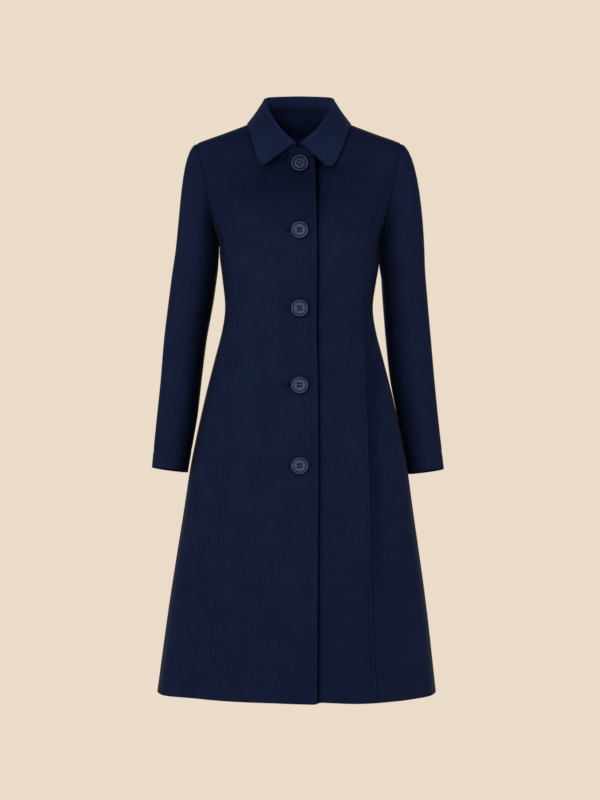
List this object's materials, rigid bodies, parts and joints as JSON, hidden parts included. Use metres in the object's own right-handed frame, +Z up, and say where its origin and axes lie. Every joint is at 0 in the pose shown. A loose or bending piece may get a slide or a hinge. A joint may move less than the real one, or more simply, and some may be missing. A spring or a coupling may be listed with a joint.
{
  "type": "long coat",
  "caption": "Navy wool long coat, single-breasted and flared, with a turn-down collar, princess seams, plain set-in sleeves and large four-hole buttons.",
  "frame": {"origin": "middle of the neck opening at the level where the shoulder seams meet the neck", "axes": "+Z up from hem to collar, -Y out of the front, +X towards the wearer's left"},
  "size_m": [0.5545, 0.4178, 1.1377],
  "materials": {
    "wool": "matt napped wool cloth",
    "button_resin": "satin resin"
  },
  "bodies": {
    "root": {"front_right": "wool", "front_left": "wool", "side_front_right": "wool", "side_front_left": "wool", "back_right": "wool", "back_left": "wool", "sleeve_upper_right": "wool", "sleeve_upper_left": "wool", "sleeve_under_right": "wool", "sleeve_under_left": "wool", "collar_stand": "wool", "collar_fall": "wool", "button_1": "button_resin", "button_2": "button_resin", "button_3": "button_resin", "button_4": "button_resin", "button_5": "button_resin"}
  },
  "joints": []
}
